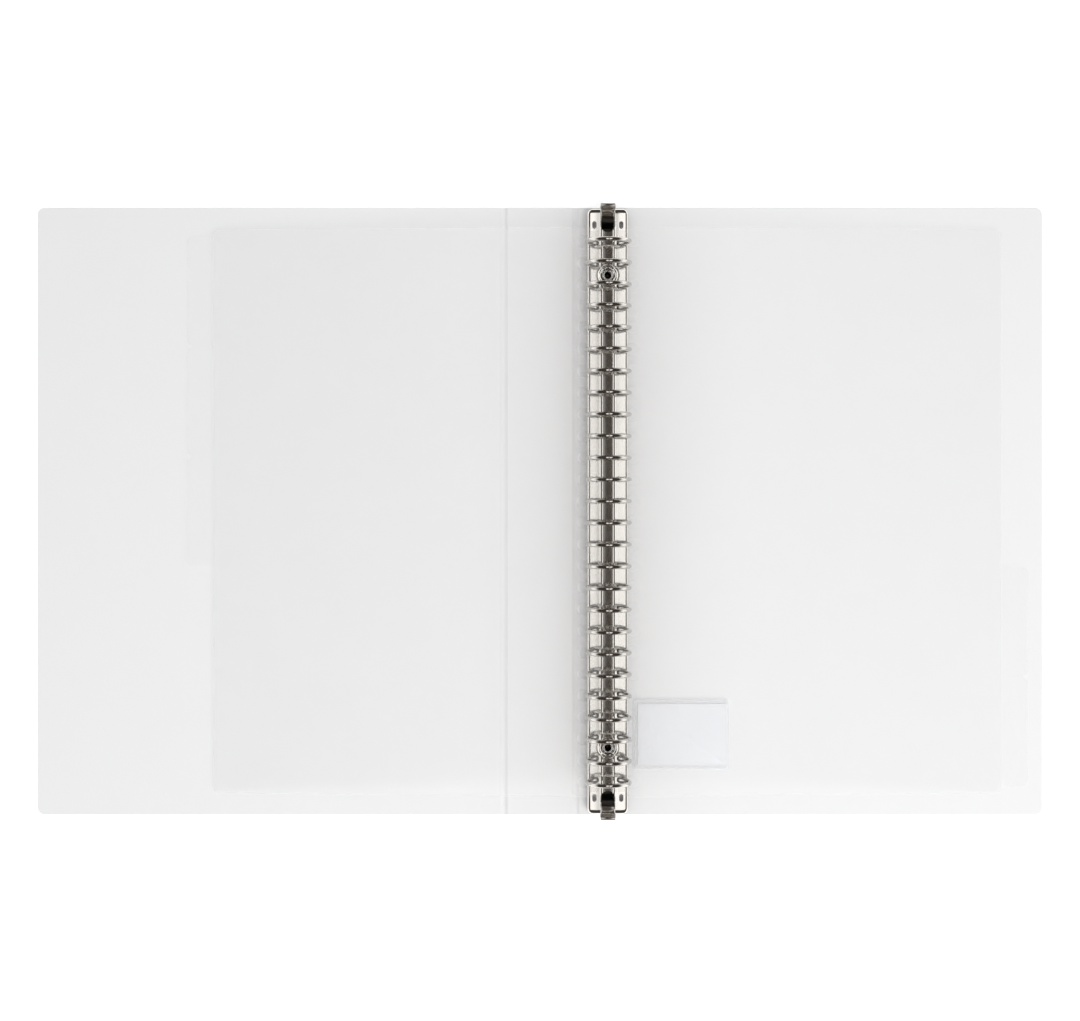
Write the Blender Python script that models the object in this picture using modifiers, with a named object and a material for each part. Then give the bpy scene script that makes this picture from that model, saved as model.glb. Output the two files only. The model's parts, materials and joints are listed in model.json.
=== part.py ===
# Open ring binder: polypropylene cover, 26-ring mechanism and five index dividers.
# Metres, +Z up. The origin is on the table, under the middle of the open cover.
# X runs across the cover, +X over the back panel. Y runs along the spine.
import math

import bmesh
import bpy
from mathutils import Matrix, Vector

MM = 0.001

# sheets and rings
RING_PITCH = 9.5 * MM
RING_COUNT = 26
RING_RADIUS = 9.5 * MM
WIRE_RADIUS = 1.0 * MM
SHEET_END_MARGIN = 6.25 * MM
SHEET_REACH = 175.2 * MM
SHEET_EDGE = 4.4 * MM
SHEET_THICKNESS = 0.3 * MM
SHEET_STEP = 0.6 * MM
SHEET_CORNER = 2.5 * MM
HOLE_RADIUS = 2.75 * MM
HOLE_OFFSET = 1.4 * MM
TAB_WIDTH = 12.0 * MM
TAB_END_MARGIN = 2.6 * MM
TAB_CORNER = 3.5 * MM
DIVIDERS = 5
DIVIDERS_ON_LEFT = 3

# cover
SPINE_WIDTH = 32.0 * MM
COVER_MARGIN = 10.0 * MM
SIDE_MARGIN = 6.3 * MM
COVER_THICKNESS = 1.0 * MM
COVER_CORNER = 3.0 * MM
CREASE_WIDTH = 2.6 * MM
CREASE_WEB = 0.3 * MM
CREASE_GAP = 0.4 * MM

# mechanism
GAP = 0.3 * MM
MECHANISM_INSET = 14.0 * MM
HOUSING_INSET = 1.0 * MM
HOUSING_WALL = 0.6 * MM
HOUSING_RISE = 5.0 * MM
SHOULDER_RADIUS = 1.4 * MM
FLANK_SLOPE = 0.3 * MM
RIB_WIDTH = 5.0 * MM
RIB_RISE = 0.6 * MM
RIB_EDGE = 0.4 * MM
RING_START = 85
FOOT_ANGLE = math.radians(55)
FOOT_SINK = 0.7 * MM
FOOT_TO_WALL = 3.65 * MM
STEM_INSET = 0.5 * MM
STEM_DROP = 0.75 * MM
SLOT_WIDTH = 2.8 * MM
SLOT_INNER = 1.45 * MM
SLOT_OUTER = 3.25 * MM
BLADE_THICKNESS = 0.9 * MM
BLADE_TILT = math.radians(6.5)
BLADE_END_MARGIN = 5.2 * MM
PIVOT_RISE = 2.6 * MM
PIVOT_INSET = 0.4 * MM
BLADE_CENTRE_GAP = 0.4 * MM

# end levers
LEVER_WIDTH = 6.0 * MM
LEVER_SIDE_GAP = 0.3 * MM
PIN_RADIUS = 0.6 * MM
PIN_HEIGHT = 3.0 * MM
PIN_END_INSET = 5.4 * MM
NOTCH_LENGTH = 10.5 * MM
LUG_THICKNESS = 0.6 * MM
LUG_LENGTH = 3.2 * MM
LEVER_KNUCKLE = 1.5 * MM
TONGUE_LENGTH = 6.6 * MM
TONGUE_THICKNESS = 0.8 * MM
TONGUE_GAP = 0.4 * MM

# rivets, half way between two rings, near both ends
RIVET_FROM_END = 1.5
RIVET_RADIUS = 1.8 * MM
RIVET_BORE = 1.3 * MM
RIVET_HEAD_RADIUS = 4.0 * MM
RIVET_HEAD_THICKNESS = 0.4 * MM
RIVET_LIP_RADIUS = 2.6 * MM
RIVET_HEAD_GAP = 0.24 * MM

# label pocket on the back panel
POCKET_LENGTH = 42.3 * MM
POCKET_WIDTH = 31.4 * MM
POCKET_FROM_HOUSING = 2.3 * MM
POCKET_FROM_EDGE = 20.1 * MM
POCKET_RIM = 1.8 * MM
POCKET_FILM = 0.25 * MM
CARD_THICKNESS = 0.3 * MM

# worked out from the sizes above
RING_SPAN = RING_PITCH * (RING_COUNT - 1)
SHEET_HEIGHT = RING_SPAN + 2 * SHEET_END_MARGIN
COVER_HEIGHT = SHEET_HEIGHT + 2 * COVER_MARGIN
CREASE_X = SPINE_WIDTH / 2
PANEL_WIDTH = MECHANISM_INSET + SHEET_REACH + TAB_WIDTH + SIDE_MARGIN
HINGE_Z = CREASE_WEB / 2
MECHANISM_X = CREASE_X + MECHANISM_INSET
HOUSING_LENGTH = COVER_HEIGHT - 2 * HOUSING_INSET
HOUSING_BOTTOM = COVER_THICKNESS + GAP
HOUSING_TOP = HOUSING_BOTTOM + HOUSING_RISE
RIB_TOP = HOUSING_TOP + RIB_RISE
FOOT_X = RING_RADIUS * math.cos(FOOT_ANGLE)
FOOT_Z = HOUSING_TOP - FOOT_SINK
RING_Z = FOOT_Z + RING_RADIUS * math.sin(FOOT_ANGLE)
HOUSING_HALF = FOOT_X + FOOT_TO_WALL
PIVOT_X = HOUSING_HALF - HOUSING_WALL - PIVOT_INSET
PIVOT_Z = HOUSING_BOTTOM + PIVOT_RISE
BLADE_LENGTH = RING_SPAN + 2 * BLADE_END_MARGIN
PIN_Y = HOUSING_LENGTH / 2 - PIN_END_INSET
PIN_Z = COVER_THICKNESS + PIN_HEIGHT
PIN_HOLE = PIN_RADIUS + GAP
RIVET_Y = RING_SPAN / 2 - RIVET_FROM_END * RING_PITCH
RIVET_HOLE = RIVET_RADIUS + GAP
SHEET_LOWEST = RING_Z - SHEET_STEP * (DIVIDERS - 1) / 2 - SHEET_THICKNESS / 2
SHEET_TILT = math.asin((SHEET_LOWEST - COVER_THICKNESS - GAP) / (SHEET_REACH + TAB_WIDTH))


def clear_scene():
    for obj in list(bpy.data.objects):
        bpy.data.objects.remove(obj)


def new_collection(name):
    collection = bpy.data.collections.new(name)
    bpy.context.scene.collection.children.link(collection)
    return collection


def make_material(name, colour, roughness, metallic=0.0, alpha=1.0):
    material = bpy.data.materials.new(name)
    material.use_nodes = True
    shader = material.node_tree.nodes["Principled BSDF"]
    shader.inputs["Base Color"].default_value = (*colour, 1.0)
    shader.inputs["Roughness"].default_value = roughness
    shader.inputs["Metallic"].default_value = metallic
    shader.inputs["Alpha"].default_value = alpha
    return material


def place(name, data, material, location=(0, 0, 0)):
    """Puts a mesh or a curve in the scene as a visible sub-part."""
    obj = bpy.data.objects.new(name, data)
    obj.location = location
    data.materials.append(material)
    binder.objects.link(obj)
    return obj


def place_cutter(name, mesh, location=(0, 0, 0)):
    obj = bpy.data.objects.new(name, mesh)
    obj.location = location
    obj.hide_render = True
    obj.display_type = "WIRE"
    cutters.objects.link(obj)
    return obj


def combine(obj, other, operation="DIFFERENCE"):
    modifier = obj.modifiers.new(other.name, "BOOLEAN")
    modifier.operation = operation
    modifier.object = other
    modifier.solver = "EXACT"


def finish_mesh(name, bm):
    bmesh.ops.recalc_face_normals(bm, faces=bm.faces)
    mesh = bpy.data.meshes.new(name)
    bm.to_mesh(mesh)
    bm.free()
    return mesh


def add_box(bm, low, high):
    low = Vector(low)
    high = Vector(high)
    size = Matrix.Diagonal((*(high - low), 1))
    made = bmesh.ops.create_cube(bm, size=1, matrix=Matrix.Translation((low + high) / 2) @ size)
    return made["verts"]


def box_mesh(name, *boxes):
    bm = bmesh.new()
    for low, high in boxes:
        add_box(bm, low, high)
    return finish_mesh(name, bm)


def add_cylinder(bm, centre, radius, length, along="Z", sides=16):
    turn = {"Z": Matrix(), "X": Matrix.Rotation(math.pi / 2, 4, "Y")}[along]
    bmesh.ops.create_cone(
        bm,
        cap_ends=True,
        segments=sides,
        radius1=radius,
        radius2=radius,
        depth=length,
        matrix=Matrix.Translation(centre) @ turn,
    )


def arc_points(centre, radius, start, end, steps):
    """Points on an arc, in degrees, both ends included."""
    angles = [math.radians(start + (end - start) * step / steps) for step in range(steps + 1)]
    return [(centre[0] + radius * math.cos(a), centre[1] + radius * math.sin(a)) for a in angles]


def flat_outline(name, outlines, thickness):
    """A flat piece from closed outlines, of which all but the first are holes."""
    curve = bpy.data.curves.new(name, "CURVE")
    curve.dimensions = "2D"
    curve.fill_mode = "BOTH"
    curve.extrude = thickness / 2
    for outline in outlines:
        spline = curve.splines.new("POLY")
        spline.points.add(len(outline) - 1)
        for point, (x, y) in zip(spline.points, outline):
            point.co = (x, y, 0, 1)
        spline.use_cyclic_u = True
    return curve


def panel_mesh(name, outer, inner, corner):
    """A cover panel in its hinge's frame, from its outer edge to its crease, with a thin web."""
    bm = bmesh.new()
    low_x = min(outer, inner)
    high_x = max(outer, inner)
    bottom = -HINGE_Z
    top = COVER_THICKNESS - HINGE_Z
    add_box(bm, (low_x, -COVER_HEIGHT / 2, bottom), (high_x, COVER_HEIGHT / 2, top))
    uprights = []
    for edge in bm.edges:
        first, second = edge.verts
        upright = abs(first.co.z - second.co.z) > COVER_THICKNESS / 2
        if upright and abs(first.co.x - outer) < GAP:
            uprights.append(edge)
    bmesh.ops.bevel(bm, geom=uprights, offset=corner, segments=4, profile=0.5, affect="EDGES")
    return finish_mesh(name, bm)


def crease_cutter(name, low_x, high_x, location):
    """Takes the panel down to the thin web that bends."""
    bottom = CREASE_WEB - HINGE_Z
    mesh = box_mesh(
        name,
        ((low_x, -COVER_HEIGHT, bottom), (high_x, COVER_HEIGHT, COVER_THICKNESS * 2)),
    )
    return place_cutter(name, mesh, location)


def make_cover():
    half_gap = CREASE_GAP / 2
    half_crease = CREASE_WIDTH / 2
    hinge_left = (-CREASE_X, 0, HINGE_Z)
    hinge_right = (CREASE_X, 0, HINGE_Z)

    front_mesh = panel_mesh("front_cover", -PANEL_WIDTH, -half_gap, COVER_CORNER)
    front = place("front_cover", front_mesh, frosted, hinge_left)
    combine(front, crease_cutter("front_crease_cutter", -half_crease, half_crease, hinge_left))

    back_mesh = panel_mesh("back_cover", PANEL_WIDTH, half_gap, COVER_CORNER)
    back = place("back_cover", back_mesh, frosted, hinge_right)
    combine(back, crease_cutter("back_crease_cutter", -half_crease, half_crease, hinge_right))

    bm = bmesh.new()
    for side in (-1, 1):
        at = (MECHANISM_X, side * RIVET_Y, 0)
        add_cylinder(bm, at, RIVET_HOLE, COVER_THICKNESS * 4)
    combine(back, place_cutter("rivet_hole_cutter", finish_mesh("rivet_hole_cutter", bm)))
    bm = bmesh.new()
    for side in (-1, 1):
        at = (MECHANISM_X, side * RIVET_Y, 0)
        depth = RIVET_HEAD_THICKNESS + RIVET_HEAD_GAP
        add_cylinder(bm, at, RIVET_HEAD_RADIUS + GAP, depth * 2, sides=24)
    combine(back, place_cutter("rivet_head_cutter", finish_mesh("rivet_head_cutter", bm)))

    bottom = -HINGE_Z
    top = COVER_THICKNESS - HINGE_Z
    spine_mesh = box_mesh(
        "spine",
        (
            (-SPINE_WIDTH + half_gap, -COVER_HEIGHT / 2, bottom),
            (-half_gap, COVER_HEIGHT / 2, top),
        ),
    )
    spine = place("spine", spine_mesh, frosted, hinge_right)
    web_top = CREASE_WEB - HINGE_Z
    mesh = box_mesh(
        "spine_crease_cutter",
        ((-half_crease, -COVER_HEIGHT, web_top), (half_crease, COVER_HEIGHT, top * 2)),
        (
            (-SPINE_WIDTH - half_crease, -COVER_HEIGHT, web_top),
            (-SPINE_WIDTH + half_crease, COVER_HEIGHT, top * 2),
        ),
    )
    combine(spine, place_cutter("spine_crease_cutter", mesh, hinge_right))


def ring_rows():
    """Where each ring stands along the spine."""
    return [RING_SPAN / 2 - RING_PITCH * row for row in range(RING_COUNT)]


def housing_profile():
    """The outer surface of the channel, from its left foot over the rib to its right foot."""
    shoulder = (HOUSING_HALF - SHOULDER_RADIUS, HOUSING_TOP - FLANK_SLOPE - SHOULDER_RADIUS)
    half = [(HOUSING_HALF, HOUSING_BOTTOM)]
    half += arc_points(shoulder, SHOULDER_RADIUS, 0, 90, 3)
    half.append((RIB_WIDTH / 2, HOUSING_TOP))
    half.append((RIB_WIDTH / 2 - RIB_EDGE, RIB_TOP))
    return [(-x, z) for x, z in half] + half[::-1]


def make_housing():
    bm = bmesh.new()
    row = [bm.verts.new((x, -HOUSING_LENGTH / 2, z)) for x, z in housing_profile()]
    edges = [bm.edges.new(pair) for pair in zip(row, row[1:])]
    made = bmesh.ops.extrude_edge_only(bm, edges=edges)["geom"]
    moved = [item for item in made if isinstance(item, bmesh.types.BMVert)]
    bmesh.ops.translate(bm, verts=moved, vec=(0, HOUSING_LENGTH, 0))
    for face in bm.faces:
        face.normal_update()
        middle = face.calc_center_median()
        if face.normal.dot(Vector((middle.x, 0, middle.z))) < 0:
            face.normal_flip()
    mesh = bpy.data.meshes.new("housing")
    bm.to_mesh(mesh)
    bm.free()
    housing = place("housing", mesh, nickel, (MECHANISM_X, 0, 0))
    wall = housing.modifiers.new("wall", "SOLIDIFY")
    wall.thickness = HOUSING_WALL
    wall.offset = -1
    wall.use_even_offset = True

    notch_half = LEVER_WIDTH / 2 + LEVER_SIDE_GAP
    inner = HOUSING_LENGTH / 2 - NOTCH_LENGTH
    outer = HOUSING_LENGTH / 2 + GAP
    lugs = bmesh.new()
    for end in (-1, 1):
        for side in (-1, 1):
            near = side * (notch_half + GAP)
            far = side * (notch_half + GAP + LUG_THICKNESS)
            y_ends = sorted((end * (PIN_Y - LUG_LENGTH / 2), end * (PIN_Y + LUG_LENGTH / 2)))
            low = (min(near, far), y_ends[0], PIN_Z - LUG_LENGTH / 2)
            high = (max(near, far), y_ends[1], HOUSING_TOP - HOUSING_WALL / 2)
            add_box(lugs, low, high)
    here = (MECHANISM_X, 0, 0)
    combine(housing, place_cutter("lugs", finish_mesh("lugs", lugs), here), "UNION")

    bm = bmesh.new()
    for y in ring_rows():
        for side in (-1, 1):
            ends = sorted((side * (FOOT_X - SLOT_INNER), side * (FOOT_X + SLOT_OUTER)))
            low = (ends[0], y - SLOT_WIDTH / 2, HOUSING_TOP - FLANK_SLOPE - SHOULDER_RADIUS)
            high = (ends[1], y + SLOT_WIDTH / 2, RIB_TOP * 2)
            add_box(bm, low, high)
    combine(housing, place_cutter("slot_cutter", finish_mesh("slot_cutter", bm), here))

    bm = bmesh.new()
    for end in (-1, 1):
        y_ends = sorted((end * inner, end * outer))
        low = (-notch_half, y_ends[0], 0)
        high = (notch_half, y_ends[1], RIB_TOP * 2)
        add_box(bm, low, high)
        add_cylinder(bm, (0, end * RIVET_Y, RIB_TOP), RIVET_HOLE, HOUSING_RISE)
    combine(housing, place_cutter("notch_cutter", finish_mesh("notch_cutter", bm), here))

    bm = bmesh.new()
    for end in (-1, 1):
        add_cylinder(bm, (0, end * PIN_Y, PIN_Z), PIN_HOLE, HOUSING_HALF, along="X", sides=12)
    combine(housing, place_cutter("pin_hole_cutter", finish_mesh("pin_hole_cutter", bm), here))


def half_ring_path(side):
    """One half ring's centre line in its blade's pivot frame: round the ring, then its foot."""
    path = [(GAP / 2, RING_Z + RING_RADIUS)]
    path += arc_points((0, RING_Z), RING_RADIUS, RING_START, -math.degrees(FOOT_ANGLE), 6)
    stem_x = FOOT_X - STEM_INSET
    path.append((stem_x, FOOT_Z - STEM_DROP))
    path.append((stem_x, PIVOT_Z - (PIVOT_X - stem_x) * math.tan(BLADE_TILT)))
    return [(side * (x - PIVOT_X), z - PIVOT_Z) for x, z in path]


def wires_mesh(name, side):
    """All the half rings of one side as one mesh, made from a round wire."""
    curve = bpy.data.curves.new(name, "CURVE")
    curve.dimensions = "3D"
    curve.bevel_depth = WIRE_RADIUS
    curve.bevel_resolution = 1
    curve.use_fill_caps = True
    path = half_ring_path(side)
    for y in ring_rows():
        spline = curve.splines.new("POLY")
        spline.points.add(len(path) - 1)
        for point, (x, z) in zip(spline.points, path):
            point.co = (x, y, z, 1)
    guide = bpy.data.objects.new(name, curve)
    cutters.objects.link(guide)
    bpy.context.view_layer.update()
    graph = bpy.context.evaluated_depsgraph_get()
    mesh = bpy.data.meshes.new_from_object(guide.evaluated_get(graph))
    bpy.data.objects.remove(guide)
    bm = bmesh.new()
    bm.from_mesh(mesh)
    bmesh.ops.remove_doubles(bm, verts=bm.verts, dist=0.005 * MM)
    bmesh.ops.recalc_face_normals(bm, faces=bm.faces)
    bm.to_mesh(mesh)
    bm.free()
    return mesh


def make_ring_blade(name, side):
    """A long blade that pivots under the housing's shoulder, with its 26 half rings staked in."""
    bm = bmesh.new()
    reach = PIVOT_X - BLADE_CENTRE_GAP / 2
    verts = add_box(
        bm,
        (-reach, -BLADE_LENGTH / 2, -BLADE_THICKNESS / 2),
        (0, BLADE_LENGTH / 2, BLADE_THICKNESS / 2),
    )
    bmesh.ops.rotate(bm, verts=verts, matrix=Matrix.Rotation(-BLADE_TILT, 3, "Y"))
    if side < 0:
        bmesh.ops.scale(bm, verts=verts, vec=(-1, 1, 1))
    pivot = (MECHANISM_X + side * PIVOT_X, 0, PIVOT_Z)
    blade = place(name, finish_mesh(name, bm), nickel, pivot)
    wires = place_cutter(name + "_wires", wires_mesh(name + "_wires", side), pivot)
    combine(blade, wires, "UNION")
    bm = bmesh.new()
    for end in (-1, 1):
        add_cylinder(bm, (0, end * RIVET_Y, PIVOT_Z), RIVET_HOLE + 2 * GAP, HOUSING_RISE, sides=12)
    relief = place_cutter(name + "_relief", finish_mesh(name + "_relief", bm), (MECHANISM_X, 0, 0))
    combine(blade, relief)


def lever_outline():
    """The lever's side, outwards and up from its pin: tongue, knuckle, thumb plate and lip."""
    tongue_low = COVER_THICKNESS + TONGUE_GAP - PIN_Z
    tongue_high = tongue_low + TONGUE_THICKNESS
    under = [
        (-TONGUE_LENGTH, tongue_low),
        (-2.2 * MM, tongue_low),
        (-0.4 * MM, tongue_low + 0.3 * MM),
        (1.3 * MM, -1.6 * MM),
        (2.4 * MM, 0.1 * MM),
        (4.6 * MM, 2.5 * MM),
        (6.3 * MM, 3.6 * MM),
    ]
    lip = arc_points((6.7 * MM, 4.4 * MM), 0.9 * MM, -60, 150, 5)
    over = [(4.2 * MM, 3.6 * MM), (2.0 * MM, 2.1 * MM)]
    knuckle = arc_points((0, 0), LEVER_KNUCKLE, 80, 170, 3)
    back = [(-2.6 * MM, tongue_high + 0.7 * MM), (-3.4 * MM, tongue_high)]
    return under + lip + over + knuckle + back + [(-TONGUE_LENGTH, tongue_high)]


def make_lever(end):
    name = "top" if end > 0 else "bottom"
    hole = arc_points((0, 0), PIN_HOLE, 0, 330, 11)
    curve = flat_outline("lever_" + name, [lever_outline(), hole], LEVER_WIDTH)
    lever = place("lever_" + name, curve, nickel, (MECHANISM_X, end * PIN_Y, PIN_Z))
    lever.rotation_euler = (math.pi / 2, 0, end * math.pi / 2)

    bm = bmesh.new()
    length = LEVER_WIDTH + 2 * (LEVER_SIDE_GAP + GAP + LUG_THICKNESS + GAP)
    add_cylinder(bm, (0, 0, 0), PIN_RADIUS, length, along="X", sides=12)
    pin_mesh = finish_mesh("lever_pin_" + name, bm)
    place("lever_pin_" + name, pin_mesh, nickel, (MECHANISM_X, end * PIN_Y, PIN_Z))


def make_rivet(end):
    """A hollow rivet turned round Z: flat head in the cover, tube, and a lip over the rib."""
    lip_low = RIB_TOP + GAP
    lip_high = lip_low + GAP
    profile = [
        (0, COVER_THICKNESS),
        (RIVET_BORE, COVER_THICKNESS),
        (RIVET_BORE, lip_high),
        (RIVET_LIP_RADIUS - GAP / 2, lip_high),
        (RIVET_LIP_RADIUS, lip_low),
        (RIVET_RADIUS, lip_low),
        (RIVET_RADIUS, RIVET_HEAD_THICKNESS),
        (RIVET_HEAD_RADIUS, RIVET_HEAD_THICKNESS),
        (RIVET_HEAD_RADIUS, 0),
        (0, 0),
    ]
    name = "rivet_top" if end > 0 else "rivet_bottom"
    mesh = bpy.data.meshes.new(name)
    points = [(radius, 0, z) for radius, z in profile]
    mesh.from_pydata(points, [(i, i + 1) for i in range(len(points) - 1)], [])
    rivet = place(name, mesh, nickel, (MECHANISM_X, end * RIVET_Y, 0))
    turn = rivet.modifiers.new("turn", "SCREW")
    turn.steps = 16
    turn.render_steps = 16
    turn.use_merge_vertices = True
    turn.merge_threshold = 0.01 * MM
    turn.use_smooth_shade = True


def divider_outline(number):
    """A divider's edge from the ring side outwards, with one tab, and its row of holes."""
    half = SHEET_HEIGHT / 2
    tab_length = (SHEET_HEIGHT - 2 * TAB_END_MARGIN) / DIVIDERS
    tab_top = half - TAB_END_MARGIN - tab_length * (number - 1)
    tab_bottom = tab_top - tab_length
    tab_x = SHEET_REACH + TAB_WIDTH
    inner = SHEET_REACH - SHEET_CORNER
    outline = [(SHEET_EDGE, -half)]
    outline += arc_points((inner, -half + SHEET_CORNER), SHEET_CORNER, -90, 0, 3)
    outline.append((SHEET_REACH, max(tab_bottom, -half + SHEET_CORNER + GAP)))
    corner = (tab_x - TAB_CORNER, tab_bottom + TAB_CORNER)
    outline += arc_points(corner, TAB_CORNER, -90, 0, 3)
    corner = (tab_x - TAB_CORNER, tab_top - TAB_CORNER)
    outline += arc_points(corner, TAB_CORNER, 0, 90, 3)
    outline.append((SHEET_REACH, min(tab_top, half - SHEET_CORNER - GAP)))
    outline += arc_points((inner, half - SHEET_CORNER), SHEET_CORNER, 0, 90, 3)
    outline.append((SHEET_EDGE, half))
    flats = HOLE_RADIUS / math.cos(math.pi / 8)
    hole_x = RING_RADIUS + HOLE_OFFSET
    holes = [arc_points((hole_x, y), flats, 22.5, 337.5, 7) for y in ring_rows()]
    return [outline] + holes


def make_divider(number):
    """One index divider, turning round the rings' axis, in its own layer of the stack."""
    name = f"divider_{number}"
    hinge = bpy.data.objects.new(name + "_hinge", None)
    hinge.location = (MECHANISM_X, 0, RING_Z)
    on_left = number <= DIVIDERS_ON_LEFT
    hinge.rotation_euler.y = math.pi - SHEET_TILT if on_left else SHEET_TILT
    binder.objects.link(hinge)
    curve = flat_outline(name, divider_outline(number), SHEET_THICKNESS)
    layer = SHEET_STEP * ((DIVIDERS + 1) / 2 - number)
    divider = place(name, curve, clear_film, (0, 0, layer))
    divider.parent = hinge


def make_label():
    """A film pocket, open on its outer side, with a blank card in it."""
    low_x = MECHANISM_X + HOUSING_HALF + POCKET_FROM_HOUSING
    high_x = low_x + POCKET_LENGTH
    low_y = -COVER_HEIGHT / 2 + POCKET_FROM_EDGE
    high_y = low_y + POCKET_WIDTH
    bottom = COVER_THICKNESS + GAP
    inside = bottom + CARD_THICKNESS + GAP
    pocket_mesh = box_mesh(
        "label_pocket",
        ((low_x, low_y, bottom), (high_x, high_y, inside + POCKET_FILM)),
    )
    pocket = place("label_pocket", pocket_mesh, clear_film)
    cut_mesh = box_mesh(
        "pocket_cutter",
        (
            (low_x + POCKET_RIM, low_y + POCKET_RIM, 0),
            (high_x + POCKET_RIM, high_y - POCKET_RIM, inside),
        ),
    )
    combine(pocket, place_cutter("pocket_cutter", cut_mesh))
    card_low = (low_x + POCKET_RIM + GAP, low_y + POCKET_RIM + GAP, bottom)
    card_high = (high_x - GAP, high_y - POCKET_RIM - GAP, bottom + CARD_THICKNESS)
    place("label_card", box_mesh("label_card", (card_low, card_high)), card_paper)


clear_scene()
binder = new_collection("ring_binder")
cutters = new_collection("cutters")
frosted = make_material("frosted_polypropylene", (0.80, 0.80, 0.80), 0.45, alpha=0.8)
clear_film = make_material("clear_polypropylene", (0.84, 0.84, 0.84), 0.35, alpha=0.4)
nickel = make_material("nickel_plate", (0.70, 0.67, 0.62), 0.12, metallic=1.0)
card_paper = make_material("card_paper", (0.86, 0.88, 0.92), 0.7)

make_cover()
make_housing()
make_ring_blade("ring_blade_left", -1)
make_ring_blade("ring_blade_right", 1)
for lever_end in (1, -1):
    make_lever(lever_end)
    make_rivet(lever_end)
for divider_number in range(1, DIVIDERS + 1):
    make_divider(divider_number)
make_label()
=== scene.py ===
import json
import math

import bmesh
import bpy
from mathutils import Matrix, Vector


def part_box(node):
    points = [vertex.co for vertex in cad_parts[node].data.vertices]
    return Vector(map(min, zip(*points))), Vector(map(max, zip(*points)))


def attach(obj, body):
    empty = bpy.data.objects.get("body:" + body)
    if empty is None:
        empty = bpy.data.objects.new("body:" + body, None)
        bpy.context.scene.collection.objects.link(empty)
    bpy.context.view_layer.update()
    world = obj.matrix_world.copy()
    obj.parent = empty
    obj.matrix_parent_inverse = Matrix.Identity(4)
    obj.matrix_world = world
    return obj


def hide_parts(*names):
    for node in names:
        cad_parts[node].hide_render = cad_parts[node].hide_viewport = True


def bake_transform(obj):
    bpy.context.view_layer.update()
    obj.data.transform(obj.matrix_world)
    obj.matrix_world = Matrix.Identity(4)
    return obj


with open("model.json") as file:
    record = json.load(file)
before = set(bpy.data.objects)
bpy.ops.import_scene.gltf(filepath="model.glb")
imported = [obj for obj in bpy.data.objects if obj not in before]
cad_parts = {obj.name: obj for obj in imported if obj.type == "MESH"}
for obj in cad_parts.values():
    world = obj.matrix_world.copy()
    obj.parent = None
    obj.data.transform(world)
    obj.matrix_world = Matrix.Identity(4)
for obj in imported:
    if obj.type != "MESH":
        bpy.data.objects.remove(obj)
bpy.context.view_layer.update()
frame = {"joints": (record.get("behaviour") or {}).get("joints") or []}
mm = 0.001

# In the dictionaries below, sizes are in millimetres and angles in degrees unless a note says otherwise.


def jointAt(name):
    found = [joint for joint in frame["joints"] if joint["name"] == name][0]
    return Vector(found["pos_m"])


ringAxis = jointAt("divider_4_turn")
middleX = ringAxis.x
rivetLow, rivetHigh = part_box("rivet_top")
rivetReach = rivetLow.lerp(rivetHigh, 0.5).y / mm  # from the middle of the mechanism to each rivet


def newMaterial(name):
    material = bpy.data.materials.new(name)
    material.use_nodes = True
    material.node_tree.nodes.clear()
    output = material.node_tree.nodes.new("ShaderNodeOutputMaterial")
    return material, material.node_tree, output


def addNode(tree, kind, inputs=None, **settings):
    node = tree.nodes.new(kind)
    for key, value in settings.items():
        setattr(node, key, value)
    for key, value in (inputs or {}).items():
        node.inputs[key].default_value = value
    return node


def join(tree, source, output, target, socket):
    tree.links.new(source.outputs[output], target.inputs[socket])


def addBlend(tree, first, second):
    node = addNode(tree, "ShaderNodeMix", data_type="RGBA")
    node.inputs["A"].default_value = (*first, 1)
    node.inputs["B"].default_value = (*second, 1)
    return node


# Painted shade: the sheets and the cover are made a little greyer beside the ring row, where the mechanism
# shades them.
paintedGutterShade = {
    "from": 12.0,  # both are distances from the rings' middle
    "to": 62.0,
    "cover": (0.968, 0.965, 0.961),
    "film": (0.984, 0.983, 0.982),
}


# mask for the painted shade: 0 beside the ring row, rising to 1 well away from it
def awayFromRings(tree, coordinates):
    parts = addNode(tree, "ShaderNodeSeparateXYZ")
    fromRings = addNode(tree, "ShaderNodeMath", {1: middleX}, operation="SUBTRACT")
    distance = addNode(tree, "ShaderNodeMath", operation="ABSOLUTE")
    away = addNode(
        tree,
        "ShaderNodeMapRange",
        {"From Min": paintedGutterShade["from"] * mm, "From Max": paintedGutterShade["to"] * mm},
        interpolation_type="SMOOTHSTEP",
    )
    join(tree, coordinates, "Object", parts, "Vector")
    join(tree, parts, "X", fromRings, 0)
    join(tree, fromRings, "Value", distance, 0)
    join(tree, distance, "Value", away, "Value")
    return away


def meshOf(name, bm, smooth=True):
    bmesh.ops.recalc_face_normals(bm, faces=bm.faces)
    for face in bm.faces:
        face.smooth = smooth
    mesh = bpy.data.meshes.new(name)
    bm.to_mesh(mesh)
    bm.free()
    return mesh


def link(obj):
    bpy.context.scene.collection.objects.link(obj)
    return obj


# body is None for a piece attached to no body; stands are the CAD nodes it takes the place of
def place(name, mesh, material, body, slot, *stands):
    if not mesh.materials:
        mesh.materials.append(material)
    obj = link(bpy.data.objects.new(name, mesh))
    if body:
        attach(obj, body)
    if stands:
        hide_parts(*stands)
    return obj


def evenNormals(obj, angle):
    obj.data.set_sharp_from_angle(angle=math.radians(angle))
    modifier = obj.modifiers.new("evenNormals", "WEIGHTED_NORMAL")
    modifier.keep_sharp = True
    modifier.weight = 60


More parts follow.
